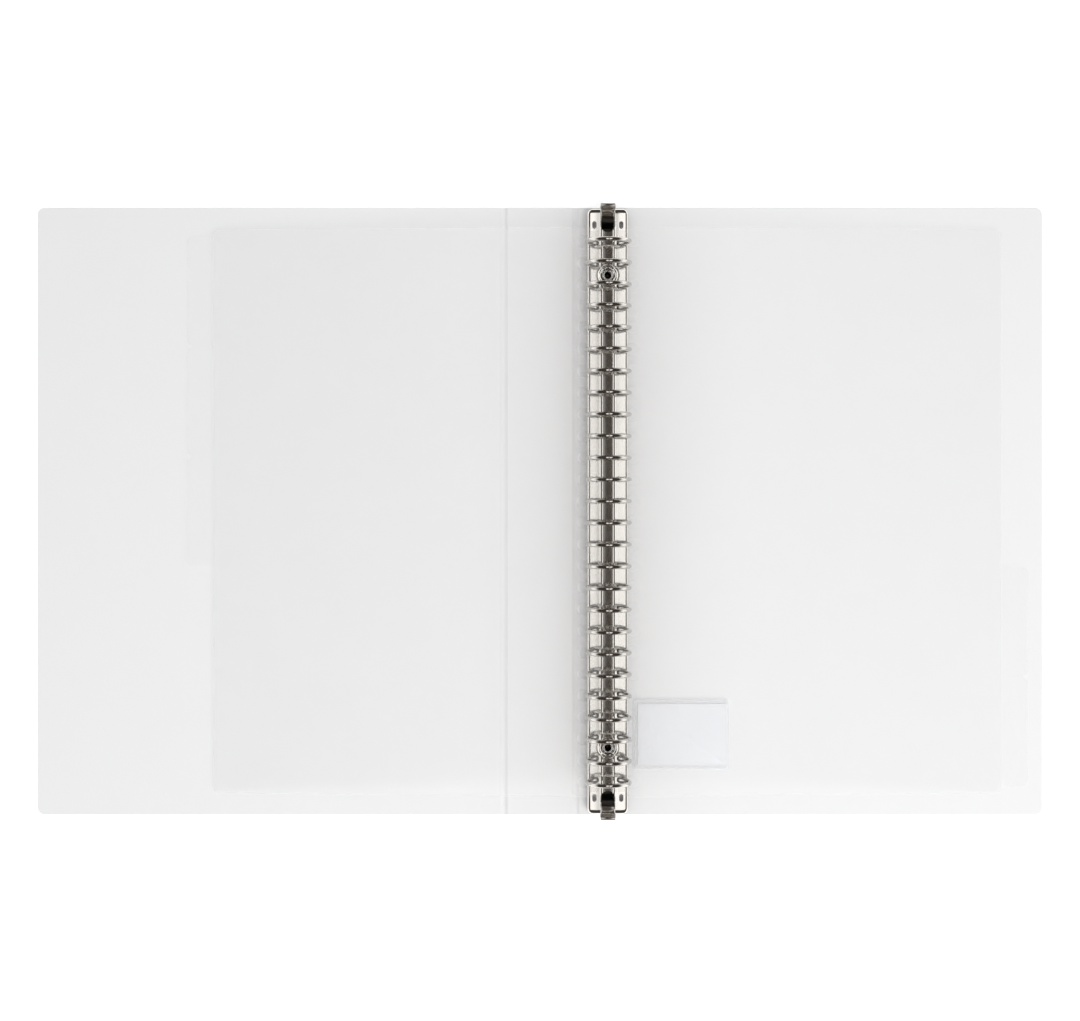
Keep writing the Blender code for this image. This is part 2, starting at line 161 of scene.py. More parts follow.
def cutWith(obj, cutterName, bm):
    cutter = link(bpy.data.objects.new(cutterName, meshOf(cutterName, bm, False)))
    modifier = obj.modifiers.new("cut", "BOOLEAN")
    modifier.operation = "DIFFERENCE"
    modifier.solver = "EXACT"
    modifier.object = cutter
    bpy.context.view_layer.update()
    graph = bpy.context.evaluated_depsgraph_get()
    mesh = bpy.data.meshes.new_from_object(obj.evaluated_get(graph))
    obj.modifiers.clear()
    mesh.name = obj.data.name
    obj.data = mesh
    bpy.data.objects.remove(cutter)


def arc(centre, radius, start, end, steps):
    angles = [math.radians(start + (end - start) * i / steps) for i in range(steps + 1)]
    return [(centre[0] + radius * math.cos(a), centre[1] + radius * math.sin(a)) for a in angles]


def roundedBox(low, high, corner, steps):
    points = arc((high[0] - corner, high[1] - corner), corner, 0, 90, steps)
    points += arc((low[0] + corner, high[1] - corner), corner, 90, 180, steps)
    points += arc((low[0] + corner, low[1] + corner), corner, 180, 270, steps)
    points += arc((high[0] - corner, low[1] + corner), corner, 270, 360, steps)
    return points


# joins each loop of vertices to the next with quads, which are given back
def skinLoops(bm, loops, closeEnds=True):
    sides = []
    for first, second in zip(loops, loops[1:]):
        for i in range(len(first)):
            j = (i + 1) % len(first)
            sides.append(bm.faces.new((first[i], first[j], second[j], second[i])))
    if closeEnds:
        bm.faces.new(loops[0][::-1])
        bm.faces.new(loops[-1])
    return sides


# the same outline moved inwards; its points run anticlockwise
def insetLoop(points, distance):
    moved = []
    for i, point in enumerate(points):
        here = Vector(point)
        first = (here - Vector(points[i - 1])).normalized()
        second = (Vector(points[(i + 1) % len(points)]) - here).normalized()
        normal = Vector((-first.y, first.x))
        inward = normal + Vector((-second.y, second.x))
        inward.normalize()
        moved.append(here + inward * distance / max(0.5, inward.dot(normal)))
    return moved


# a flat plate with rounded top and bottom edges, all in metres
def plateMesh(name, outline, low, high, edge, steps=3):
    levels = []
    for i in range(steps + 1):
        a = math.pi / 2 * i / steps
        levels.append((edge * (1 - math.sin(a)), low + edge * (1 - math.cos(a))))
    levels += [(inset, low + high - z) for inset, z in reversed(levels)]
    bm = bmesh.new()
    loops = []
    for inset, z in levels:
        loops.append([bm.verts.new((p[0], p[1], z)) for p in insetLoop(outline, inset)])
    skinLoops(bm, loops)
    return meshOf(name, bm)


# a solid of revolution round Z, from (radius, height) points in millimetres
def turned(name, profile, at, sides):
    bm = bmesh.new()
    loops = []
    for radius, z in profile:
        ring = arc(at, radius * mm, 0, 360 - 360 / sides, sides - 1)
        loops.append([bm.verts.new((x, y, z * mm)) for x, y in ring])
    skinLoops(bm, loops)
    return meshOf(name, bm)


# a strip between an upper and a lower line, given as one pair of vertex rows for each place along Y
def skinRows(bm, rows):
    last = len(rows[0][0]) - 1
    for (upperA, lowerA), (upperB, lowerB) in zip(rows, rows[1:]):
        for i in range(last):
            bm.faces.new((upperA[i], upperA[i + 1], upperB[i + 1], upperB[i]))
            bm.faces.new((lowerA[i], lowerB[i], lowerB[i + 1], lowerA[i + 1]))
        for i in (0, last):
            bm.faces.new((upperA[i], upperB[i], lowerB[i], lowerA[i]))
    for upper, lower in (rows[0], rows[-1]):
        for i in range(last):
            bm.faces.new((upper[i], lower[i], lower[i + 1], upper[i + 1]))


def drum(bm, centre, radius, low, high, sides=32):
    bmesh.ops.create_cone(
        bm,
        cap_ends=True,
        segments=sides,
        radius1=radius * mm,
        radius2=radius * mm,
        depth=(high - low) * mm,
        matrix=Matrix.Translation((centre[0], centre[1], (low + high) / 2 * mm)),
    )


# the cover: three frosted panels and the two pressed creases between them
cover = {
    "corner": 3.0,
    "edgeRound": 0.22,
    "creaseHalf": 1.8,  # from the hinge line to where the panel is full thickness
    "creaseFlat": 0.25,  # half of the thin web
    "web": 0.3,
    "slopeSteps": 5,
    "flatSteps": 10,
    "bend": 1.0,  # a distance from the hinge line
    "rivetSeat": (4.3, 0.62),  # radius and depth of the pocket under each rivet head
    "rivetHole": 2.1,
    "colour": (0.775, 0.775, 0.780),
    "mottle": 0.01,
    "solid": 0.95,  # the rest of the light goes straight through
    "roughness": 0.46,
    "grainSize": 0.55,
    "grainDepth": 0.05,
    "grainStrength": 0.35,
}


def makeCoverMaterial():
    material, tree, output = newMaterial("frostedCover")
    coordinates = addNode(tree, "ShaderNodeTexCoord")
    away = awayFromRings(tree, coordinates)
    # painted shade: the cover's colour is made greyer beside the ring row
    paintedCoverShade = addBlend(tree, paintedGutterShade["cover"], (1, 1, 1))
    grain = addNode(tree, "ShaderNodeTexVoronoi", {"Scale": 1 / (cover["grainSize"] * mm)})
    cloud = addNode(tree, "ShaderNodeTexNoise", {"Scale": 38.0, "Detail": 3.0})
    bump = addNode(
        tree,
        "ShaderNodeBump",
        {"Strength": cover["grainStrength"], "Distance": cover["grainDepth"] * mm},
    )
    darker = [c * (1 - cover["mottle"]) for c in cover["colour"]]
    lighter = [c * (1 + cover["mottle"]) for c in cover["colour"]]
    tint = addBlend(tree, darker, lighter)
    shade = addNode(tree, "ShaderNodeMix", data_type="RGBA", blend_type="MULTIPLY")
    shade.inputs["Factor"].default_value = 1
    body = addNode(tree, "ShaderNodeBsdfPrincipled", {"Roughness": cover["roughness"], "IOR": 1.49})
    clear = addNode(tree, "ShaderNodeBsdfTransparent")
    mix = addNode(tree, "ShaderNodeMixShader", {"Fac": cover["solid"]})
    join(tree, coordinates, "Object", grain, "Vector")
    join(tree, coordinates, "Object", cloud, "Vector")
    join(tree, grain, "Distance", bump, "Height")
    join(tree, cloud, "Fac", tint, "Factor")
    join(tree, away, "Result", paintedCoverShade, "Factor")
    join(tree, tint, "Result", shade, "A")
    join(tree, paintedCoverShade, "Result", shade, "B")
    join(tree, shade, "Result", body, "Base Color")
    join(tree, bump, "Normal", body, "Normal")
    join(tree, clear, "BSDF", mix, 1)
    join(tree, body, "BSDF", mix, 2)
    join(tree, mix, "Shader", output, "Surface")
    return material


def panelOutline(left, right, halfHeight, roundLeft, roundRight):
    corner = cover["corner"] * mm
    corners = [
        (right, -halfHeight, -90, roundRight, -1, 1),
        (right, halfHeight, 0, roundRight, -1, -1),
        (left, halfHeight, 90, roundLeft, 1, -1),
        (left, -halfHeight, 180, roundLeft, 1, 1),
    ]
    points = []
    for x, y, start, rounded, dx, dy in corners:
        if rounded:
            points += arc((x + dx * corner, y + dy * corner), corner, start, start + 90, 8)
        else:
            points.append((x, y))
    return points


# the pressed groove between two panels, with sloping sides and a thin web
def creaseMesh(name, hinge, halfHeight, top):
    flat = cover["creaseFlat"] * mm
    half = cover["creaseHalf"] * mm
    web = cover["web"] * mm
    slope = []
    for i in range(cover["slopeSteps"] + 1):
        t = i / cover["slopeSteps"]
        rise = 0.5 + 0.5 * math.cos(math.pi * t)
        slope.append((-half + (half - flat) * t, web + (top - web) * rise))
    steps = cover["flatSteps"]
    across = slope + [(-flat + 2 * flat * i / steps, web) for i in range(1, steps)]
    across += [(-x, z) for x, z in reversed(slope)]
    edge = 0.2 * mm  # the last bit of each end is eased down a little
    ease = 0.06 * mm
    bm = bmesh.new()
    rows = []
    ends = [(-halfHeight, ease), (edge - halfHeight, 0), (halfHeight - edge, 0), (halfHeight, ease)]
    for y, drop in ends:
        upper = [bm.verts.new((hinge + x, y, z - drop)) for x, z in across]
        lower = [bm.verts.new((hinge + x, y, 0)) for x, z in across]
        rows.append((upper, lower))
    skinRows(bm, rows)
    return meshOf(name, bm)


def makeCover():
    material = makeCoverMaterial()
    low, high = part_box("front_cover")
    leftHinge = jointAt("cover_fold").x
    rightHinge = jointAt("spine_fold").x
    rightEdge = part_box("back_cover")[1].x
    edge = cover["edgeRound"] * mm
    reach = cover["creaseHalf"] * mm - edge  # the rounded edge is hidden in the crease's slope
    spans = [
        ("frontPanel", low.x, leftHinge - reach, True, False, "front_cover"),
        ("spinePanel", leftHinge + reach, rightHinge - reach, False, False, "spine"),
        ("backPanel", rightHinge + reach, rightEdge, False, True, "back_cover"),
    ]
    for name, left, right, roundLeft, roundRight, node in spans:
        outline = panelOutline(left, right, high.y, roundLeft, roundRight)
        mesh = plateMesh(name, outline, 0, high.z, edge)
        panel = place(name, mesh, material, node, "cover_film", node)
        if node == "back_cover":
            bm = bmesh.new()
            seat, depth = cover["rivetSeat"]
            for end in (-1, 1):
                centre = (middleX, end * rivetReach * mm)
                drum(bm, centre, seat, -1, depth)
                drum(bm, centre, cover["rivetHole"], -2, 3)
            cutWith(panel, "rivetSeats", bm)
        evenNormals(panel, 40)

    creases = [
        ("leftCrease", leftHinge, "spine", "front_cover"),
        ("rightCrease", rightHinge, "back_cover", "spine"),
    ]
    for name, hinge, fixed, moving in creases:
        mesh = creaseMesh(name, hinge, high.y, high.z)
        crease = place(name, mesh, material, None, "cover_film")
        evenNormals(crease, 40)
        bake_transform(crease)


makeCover()
print("cover made")


# plated steel
nickel = {
    "colour": (0.80, 0.78, 0.75),
    "roughness": 0.07,
    "dark": (0.05, 0.046, 0.043),  # painted shade inside the rivets and behind the levers
    "paintedShadeRoughness": 0.32,
    "roughnessSpread": 0.05,
    "waviness": 0.01,
}


def makeNickelMaterial(name, colour, roughness):
    material, tree, output = newMaterial(name)
    coordinates = addNode(tree, "ShaderNodeTexCoord")
    cloud = addNode(tree, "ShaderNodeTexNoise", {"Scale": 160.0, "Detail": 4.0})
    fine = addNode(tree, "ShaderNodeTexNoise", {"Scale": 2600.0, "Detail": 1.0})
    rougher = roughness + nickel["roughnessSpread"]
    spread = addNode(tree, "ShaderNodeMapRange", {"To Min": roughness, "To Max": rougher})
    bump = addNode(tree, "ShaderNodeBump", {"Strength": 0.10, "Distance": nickel["waviness"] * mm})
    body = addNode(tree, "ShaderNodeBsdfPrincipled", {"Metallic": 1.0, "Base Color": (*colour, 1)})
    join(tree, coordinates, "Object", cloud, "Vector")
    join(tree, coordinates, "Object", fine, "Vector")
    join(tree, cloud, "Fac", spread, "Value")
    join(tree, spread, "Result", body, "Roughness")
    join(tree, fine, "Fac", bump, "Height")
    join(tree, bump, "Normal", body, "Normal")
    join(tree, body, "BSDF", output, "Surface")
    return material


nickelMaterial = makeNickelMaterial("nickelPlate", nickel["colour"], nickel["roughness"])
# painted shade: a near-black nickel for the shaded bores and the inside of the lever notch
paintedShadeMaterial = makeNickelMaterial("paintedShadeSteel", nickel["dark"], nickel["paintedShadeRoughness"])


# 26 pairs of half rings, each side staked in its own blade
rings = {
    "count": 26,
    "pitch": 9.5,
    "radius": 9.4,
    "wire": 0.96,
    "colour": (0.63, 0.61, 0.58),
    "sides": 18,
    "arcSteps": 30,
    "footAngle": 55,  # below the level of the rings' axis
    "stemInset": 0.5,
    "stemDrop": 1.1,
    "tipGap": 0.05,
    "tipChamfer": 0.10,
    "bladeTilt": 6.5,
    "bladeLength": 247.9,
    "bladeHalf": 0.45,
    "bladeRelief": 2.7,  # radius of the cut round each rivet
}
wireMaterial = makeNickelMaterial("ringWire", rings["colour"], nickel["roughness"])


def ringRows():
    half = rings["pitch"] * (rings["count"] - 1) / 2
    return [half - rings["pitch"] * i for i in range(rings["count"])]


def tubeMesh(name, path, radii, sides):
    bm = bmesh.new()
    alongY = Vector((0, 1, 0))
    loops = []
    for i, point in enumerate(path):
        before = path[max(i - 1, 0)]
        after = path[min(i + 1, len(path) - 1)]
        across = (after - before).normalized().cross(alongY).normalized()
        ring = arc((0, 0), radii[i], 0, 360 - 360 / sides, sides - 1)
        loops.append([bm.verts.new(point + across * u + alongY * v) for u, v in ring])
    skinLoops(bm, loops)
    mesh = meshOf(name, bm)
    mesh.set_sharp_from_angle(angle=math.radians(40))
    return mesh


# joint face, arc, foot and the stem down to the blade, from the rings' axis
def halfRingMesh(name, side, pivot):
    radius = rings["radius"] * mm
    wire = rings["wire"] * mm
    foot = rings["footAngle"]
    start = 90 - math.degrees(rings["tipGap"] / rings["radius"])
    bevelled = start - math.degrees(rings["tipChamfer"] / rings["radius"])
    steps = rings["arcSteps"]
    angles = [start] + [bevelled + (-foot - bevelled) * i / steps for i in range(steps + 1)]
    path = [Vector((radius * math.cos(a), 0, radius * math.sin(a))) for a in map(math.radians, angles)]
    radii = [wire * 0.84] + [wire] * (len(path) - 1)

    footX = path[-1].x
    footZ = path[-1].z
    stemX = footX - rings["stemInset"] * mm
    bladeDrop = (abs(pivot.x - middleX) - stemX) * math.tan(math.radians(rings["bladeTilt"]))
    for t in (0.35, 0.7, 1.0):
        x = footX + (stemX - footX) * t * (2 - t)
        path.append(Vector((x, 0, footZ - rings["stemDrop"] * mm * t)))
        radii.append(wire)
    path.append(Vector((stemX, 0, pivot.z - ringAxis.z - bladeDrop - 0.2 * mm)))
    radii.append(wire * 0.9)
    path = [Vector((side * p.x, p.y, p.z)) for p in path]
    return tubeMesh(name, path, radii, rings["sides"])


def makeBlade(side, name, body, node, pivot):
    reach = abs(pivot.x - middleX) - 0.2 * mm
    half = rings["bladeLength"] / 2 * mm
    thick = rings["bladeHalf"] * mm
    outline = [(-reach, -half), (0, -half), (0, half), (-reach, half)]
    mesh = plateMesh("blade" + name, outline, -thick, thick, 0.2 * mm)
    mesh.transform(Matrix.Rotation(math.radians(-rings["bladeTilt"]), 4, "Y"))
    if side < 0:
        mesh.transform(Matrix.Diagonal((-1, 1, 1, 1)))
        mesh.flip_normals()
    mesh.transform(Matrix.Translation(pivot))
    blade = place(mesh.name, mesh, nickelMaterial, body, "nickel_plate", node)
    bm = bmesh.new()
    for end in (-1, 1):
        drum(bm, (middleX, end * rivetReach * mm), rings["bladeRelief"], 1, 8)
    cutWith(blade, "bladeRelief", bm)
    evenNormals(blade, 40)


def makeRings():
    for side, name in ((-1, "Left"), (1, "Right")):
        pivot = jointAt(name.lower() + "_rings_open")
        body = "ring_half_" + name.lower()
        mesh = halfRingMesh("halfRing" + name, side, pivot)
        mesh.materials.append(wireMaterial)
        for number, y in enumerate(ringRows(), 1):
            ring = bpy.data.objects.new(f"halfRing{name}{number:02d}", mesh)
            ring.location = (middleX, y * mm, ringAxis.z)
            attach(link(ring), body)
        makeBlade(side, name, body, "ring_blade_" + name.lower(), pivot)


# a pressed channel with a raised rib, slots for the rings and dished rivet seats
housing = {
    "wall": 0.6,
    "ribHalf": 2.05,
    "ribRound": 0.35,
    "crownRadius": 72.0,
    "flankStart": 3.6,
    "flankNear": 2.6,  # slope beside the rib
    "flankFar": 5.2,  # slope at the shoulder
    "flankSteps": 6,
    "shoulder": 1.4,
    "shoulderRise": 3.3,  # from the channel's foot to the middle of the shoulder's arc
    "endRound": 2.6,
    "endCurl": 1.5,
    "endNarrow": 0.22,
    "notchLength": 10.5,
    "notchHalf": 3.3,
    "slotWidth": 2.8,
    "slotInner": 1.45,  # how far each slot reaches inwards and outwards from the ring's foot
    "slotOuter": 3.25,
    "windowAcross": (5.0, 6.9),
    "windowAlong": (125.0, 128.4),
    "dishInner": 3.3,
    "dishOuter": 4.7,
    "dishZ": 6.05,
    "dishHole": 1.95,
    "stations": (20.0, 40.0, 60.0, 80.0, 98.0, 118.0),
    "endStations": (0, 0.12, 0.3, 0.55, 0.9, 1.4, 2.0, 2.6),  # measured back from the end
}
housingLow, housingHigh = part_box("housing")
housingHalf = (housingHigh.x - housingLow.x) / 2 / mm
housingEnd = housingHigh.y / mm


# the hollow between the rib and the flank, as one smooth curve
def ribHollow(start, end, slope):
    leave = math.radians(-65)
    first = start + 0.28 * Vector((math.cos(leave), math.sin(leave)))
    second = end - 0.75 * Vector((math.cos(slope), -math.sin(slope)))
    points = []
    for i in range(1, 7):
        t = i / 7
        u = 1 - t
        points.append(tuple(start * u**3 + first * 3 * t * u**2 + second * 3 * t * t * u + end * t**3))
    return points


# the outer surface from the rib's middle to the right foot, in millimetres
def housingProfile():
    top = housingHigh.z / mm
    foot = housingLow.z / mm
    rib = housing["ribHalf"]
    points = []
    for i in range(7):
        u = rib * i / 6
        points.append((u, top - u * u / (2 * housing["crownRadius"])))
    edge = housing["ribRound"]
    points += arc((rib, points[-1][1] - edge), edge, 84, 25, 4)

    shoulder = housing["shoulder"]
    centre = Vector((housingHalf - shoulder, foot + housing["shoulderRise"]))
    far = math.radians(housing["flankFar"])
    near = math.radians(housing["flankNear"])
    flank = [centre + shoulder * Vector((math.sin(far), math.cos(far)))]
    steps = housing["flankSteps"]
    length = (flank[0].x - housing["flankStart"]) / steps
    for i in range(steps):
        slope = far + (near - far) * (i + 0.5) / steps
        flank.append(flank[-1] + Vector((-length, length * math.tan(slope))))
    flank.reverse()
    points += ribHollow(Vector(points[-1]), flank[0], near)
    points += [tuple(point) for point in flank]
    points += arc(tuple(centre), shoulder, 90 - housing["flankFar"], 0, 8)[1:]
    points.append((housingHalf, foot))
    return points


# The inner side of the wall. Under the rib it is moved straight down, so that it can't fold over.
def innerProfile(points):
    wall = housing["wall"]
    moved = []
    for i, (u, z) in enumerate(points):
        if abs(u) < housing["flankStart"] + 1:
            moved.append((u, z - wall))
            continue
        before = Vector(points[max(i - 1, 0)])
        after = Vector(points[min(i + 1, len(points) - 1)])
        along = (after - before).normalized()
        moved.append((u + along.y * wall, z - along.x * wall))
    return moved


# rounds the channel's ends, curls them down and dishes the rib round each rivet
def shapeHousing(u, y, z):
    fromEnd = housingEnd - abs(y)
    r = housing["endRound"]
    if fromEnd < r:
        share = max(housing["endNarrow"], math.sqrt(max(0.0, 1 - ((r - fromEnd) / r) ** 2)))
        inner = housingHalf - r
        if abs(u) > inner:
            u = math.copysign(inner + (abs(u) - inner) * share, u)
        weight = min(1.0, max(0.0, (z - 3.0) / 2.6))  # the feet stay level
        z -= housing["endCurl"] * (1 - share) * weight
    away = math.hypot(u, abs(y) - rivetReach)
    if away < housing["dishOuter"] and z > 5.0:
        t = (away - housing["dishInner"]) / (housing["dishOuter"] - housing["dishInner"])
        t = min(1.0, max(0.0, t))
        keep = t * t * (3 - 2 * t)
        floor = housing["dishZ"] - (housing["wall"] if z < 5.75 else 0)
        z = floor + (z - floor) * keep
    return Vector((u * mm + middleX, y * mm, z * mm))


# a prism with round ends that cuts a slot, in millimetres
def slotCutter(bm, across, along, lowZ, highZ, steps):
    low = (min(across), min(along))
    high = (max(across), max(along))
    corner = min(high[0] - low[0], high[1] - low[1]) / 2 * 0.98
    points = roundedBox(low, high, corner, steps)
    loops = []
    for z in (lowZ, highZ):
        loops.append([bm.verts.new((p[0] * mm + middleX, p[1] * mm, z * mm)) for p in points])
    skinLoops(bm, loops)


def cutHousing(shell):
    bm = bmesh.new()
    foot = rings["radius"] * math.cos(math.radians(rings["footAngle"]))
    half = housing["slotWidth"] / 2
    for y in ringRows():
        for side in (-1, 1):
            across = (side * (foot - housing["slotInner"]), side * (foot + housing["slotOuter"]))
            slotCutter(bm, across, (y - half, y + half), 4.4, 9, 6)
    notch = housing["notchHalf"]
    for end in (-1, 1):
        along = (end * (housingEnd - housing["notchLength"]), end * (housingEnd + 4))
        slotCutter(bm, (-notch, notch), along, 0.5, 9, 8)
        for side in (-1, 1):
            across = [side * u for u in housing["windowAcross"]]
            slotCutter(bm, across, [end * y for y in housing["windowAlong"]], 4.6, 9, 4)
        drum(bm, (middleX, end * rivetReach * mm), housing["dishHole"], 3, 9)
    cutWith(shell, "housingCuts", bm)


def makeHousing():
    half = housingProfile()
    outer = [(-u, z) for u, z in half[:0:-1]] + half
    inner = innerProfile(outer)
    stations = {housingEnd - back for back in housing["endStations"]}
    stations |= {rivetReach + 0.3 * i for i in range(-17, 18)}  # close together over the dish
    stations |= set(housing["stations"])
    stations = sorted({round(y, 3) for y in stations})
    stations = [-y for y in reversed(stations)] + stations
    bm = bmesh.new()
    rows = []
    for y in stations:
        upper = [bm.verts.new(shapeHousing(u, y, z)) for u, z in outer]
        lower = [bm.verts.new(shapeHousing(u, y, z)) for u, z in inner]
        rows.append((upper, lower))
    skinRows(bm, rows)
    mesh = meshOf("housingShell", bm)
    shell = place(mesh.name, mesh, nickelMaterial, "back_cover", "nickel_plate", "housing")
    cutHousing(shell)
    for face in shell.data.polygons:
        face.use_smooth = True
    evenNormals(shell, 38)


makeHousing()
print("housing made")
makeRings()
print("rings made")


# the levers at the two ends of the housing
lever = {
    "width": 5.7,
    "lipWidth": 6.8,
    "flareFrom": 3.6,  # the lever widens to its lip over this length
    "flareLength": 2.4,
    "tongueNarrow": 1.2,
    "crown": 0.12,
    "edgeRound": 0.28,
    "shadeTo": 2.3,  # the painted shade on the inner part ends this far out from the pin
}


# side view, outwards and up from the pin, in millimetres
def leverOutline():
    low = -2.6
    under = [(-6.6, low), (-2.2, low), (-0.4, low + 0.3), (1.3, -1.6), (2.4, 0.1), (3.4, 1.3)]
    under += [(4.6, 2.45), (5.5, 3.1), (6.3, 3.6)]
    lip = arc((6.7, 4.4), 0.9, -60, 150, 14)
    over = [(5.2, 4.15), (4.2, 3.6), (3.1, 2.85), (2.0, 2.15), (1.1, 1.7)]
    knuckle = arc((0, 0), 1.5, 80, 170, 8)
    back = [(-2.0, -0.5), (-2.6, -1.1), (-3.4, low + 0.8), (-6.6, low + 0.8)]
    return under + lip + over + knuckle + back


def leverWidth(a):
    grow = min(1.0, max(0.0, (a - lever["flareFrom"]) / lever["flareLength"]))
    grow = grow * grow * (3 - 2 * grow)
    width = lever["width"] + (lever["lipWidth"] - lever["width"]) * grow
    return width - lever["tongueNarrow"] if a < -3 else width


def makeLever(end, at, node, name):
    bm = bmesh.new()
    loops = []
    for t in (-1, -0.5, 0, 0.5, 1):
        loop = []
        for a, b in leverOutline():
            crown = lever["crown"] * (1 - t * t) if a > 2 and b > 0 else 0
            loop.append(bm.verts.new((t * leverWidth(a) / 2 * mm, end * a * mm, (b + crown) * mm)))
        loops.append(loop)
    skinLoops(bm, loops)
    mesh = meshOf(name, bm)
    mesh.transform(Matrix.Translation(at))
    mesh.materials.append(nickelMaterial)
    mesh.materials.append(paintedShadeMaterial)
    # the inner faces behind the slope get the painted shade material
    for face in mesh.polygons:
        if end * (face.center.y - at.y) < lever["shadeTo"] * mm:
            face.material_index = 1
    obj = place(name, mesh, nickelMaterial, node, "nickel_plate", node)
    bevel = obj.modifiers.new("edge", "BEVEL")
    bevel.width = lever["edgeRound"] * mm
    bevel.segments = 3
    bevel.limit_method = "ANGLE"
    bevel.angle_limit = math.radians(50)
    evenNormals(obj, 60)


leverPin = {
    "radius": 0.6,
    "lugAcross": 3.9,  # from the middle to the small lug that holds each end
    "lugRadius": 1.6,
    "lugRise": 2.2,
    "lugHalf": 0.3,
}


def makePin(at, node, name):
    low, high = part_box(node)
    half = (high.x - low.x) / 2 / mm
    radius = leverPin["radius"]
    profile = [(0.3, -half), (radius - 0.08, 0.06 - half), (radius, 0.2 - half)]
    profile += [(r, -z) for r, z in reversed(profile)]
    mesh = turned(name, profile, (0, 0), 24)
    mesh.transform(Matrix.Translation(at) @ Matrix.Rotation(math.pi / 2, 4, "Y"))
    evenNormals(place(name, mesh, nickelMaterial, "back_cover", "nickel_plate", node), 50)

    lug = leverPin["lugRadius"] * mm
    rise = leverPin["lugRise"] * mm
    thick = leverPin["lugHalf"] * mm
    outline = arc((0, 0), lug, 180, 360, 10) + [(lug, rise), (-lug, rise)]
    turn = Matrix.Rotation(math.pi / 2, 4, "Z") @ Matrix.Rotation(math.pi / 2, 4, "X")
    for side, letter in ((-1, "L"), (1, "R")):
        mesh = plateMesh(f"{name}Lug{letter}", outline, -thick, thick, 0.1 * mm)
        across = Vector((side * leverPin["lugAcross"] * mm, 0, 0))
        mesh.transform(Matrix.Translation(at + across) @ turn)
        evenNormals(place(mesh.name, mesh, nickelMaterial, "back_cover", "nickel_plate"), 40)


# a hollow rivet: flat head under the cover, tube and a rolled rim in the dish
def makeRivet(end, node, name):
    at = (middleX, end * rivetReach * mm)
    profile = [(0.3, 0.9), (1.25, 1.1), (1.43, 1.4)]
    profile += arc((1.95, 6.28), 0.52, 180, 0, 8)
    profile += [(2.4, 6.08), (1.8, 5.9), (1.8, 0.75), (2.0, 0.45)]
    profile += [(3.85, 0.4), (4.0, 0.3), (4.0, 0.08), (3.9, 0.0)]
    mesh = turned(name, profile, at, 40)
    mesh.materials.append(nickelMaterial)
    mesh.materials.append(paintedShadeMaterial)
    # the faces inside the bore get the painted shade material
    for face in mesh.polygons:
        away = math.hypot(face.center.x - at[0], face.center.y - at[1]) / mm
        if away < 1.46 and 0.5 < face.center.z / mm < 6.0:
            face.material_index = 1
    evenNormals(place(name, mesh, nickelMaterial, "back_cover", "nickel_plate", node), 50)


topPin = jointAt("lever_top_press")
bottomPin = jointAt("lever_bottom_press")
makeLever(1, topPin, "lever_top", "leverTop")
makeLever(-1, bottomPin, "lever_bottom", "leverBottom")
makeRivet(1, "rivet_top", "rivetTop")
makeRivet(-1, "rivet_bottom", "rivetBottom")
makePin(topPin, "lever_pin_top", "pinTop")
makePin(bottomPin, "lever_pin_bottom", "pinBottom")
print("levers, rivets and pins made")


# index dividers of clear film, with a staggered tab and a round hole for every ring
film = {
    "thickness": 0.3,
    "height": 250.0,
    "ringEdge": 4.4,  # distances from the rings' axis
    "reach": 175.2,
    "tabReach": 187.2,
    "holeCentre": 10.9,
    "holeRadius": 2.75,
    "holeSides": 28,
    "corner": 2.5,
    "tabCorner": 3.5,
    "tabMargin": 2.6,
    "count": 5,
    "layer": 0.6,
    "tilt": 3.287,
    "haze": 0.055,
    "edgeHaze": 0.16,
    "hazeColour": (0.93, 0.93, 0.935),
    "clear": (0.989, 0.989, 0.9892),
    "gloss": 0.008,
    "glossRoughness": 0.22,
}


# Clear film that scatters a little light forwards and back. It is one thin layer, so light crosses it once.
def makeFilmMaterial(name, haze, hazeColour):
    material, tree, output = newMaterial(name)
    coordinates = addNode(tree, "ShaderNodeTexCoord")
    cloud = addNode(tree, "ShaderNodeTexNoise", {"Scale": 22.0, "Detail": 2.0})
    amount = addNode(tree, "ShaderNodeMapRange", {"To Min": haze * 0.9, "To Max": haze * 1.1})
    away = awayFromRings(tree, coordinates)
    # painted shade: the film lets a little less light through beside the ring row
    paintedFilmShade = addBlend(tree, paintedGutterShade["film"], film["clear"])
    clear = addNode(tree, "ShaderNodeBsdfTransparent")
    front = addNode(tree, "ShaderNodeBsdfDiffuse", {"Color": (*hazeColour, 1)})
    back = addNode(tree, "ShaderNodeBsdfTranslucent", {"Color": (*hazeColour, 1)})
    milky = addNode(tree, "ShaderNodeMixShader", {"Fac": 0.5})
    body = addNode(tree, "ShaderNodeMixShader")
    gloss = (film["gloss"], film["gloss"], film["gloss"], 1)
    sheen = addNode(
        tree, "ShaderNodeBsdfGlossy", {"Roughness": film["glossRoughness"], "Color": gloss}
    )
    surface = addNode(tree, "ShaderNodeAddShader")
    join(tree, coordinates, "Object", cloud, "Vector")
    join(tree, cloud, "Fac", amount, "Value")
    join(tree, amount, "Result", body, "Fac")
    join(tree, away, "Result", paintedFilmShade, "Factor")
    join(tree, paintedFilmShade, "Result", clear, "Color")
    join(tree, front, "BSDF", milky, 1)
    join(tree, back, "BSDF", milky, 2)
    join(tree, clear, "BSDF", body, 1)
    join(tree, milky, "Shader", body, 2)
    join(tree, body, "Shader", surface, 0)
    join(tree, sheen, "BSDF", surface, 1)
    join(tree, surface, "Shader", output, "Surface")
    return material


filmMaterial = makeFilmMaterial("dividerFilm", film["haze"], film["hazeColour"])
filmEdgeMaterial = makeFilmMaterial("dividerFilmEdge", film["edgeHaze"], film["hazeColour"])


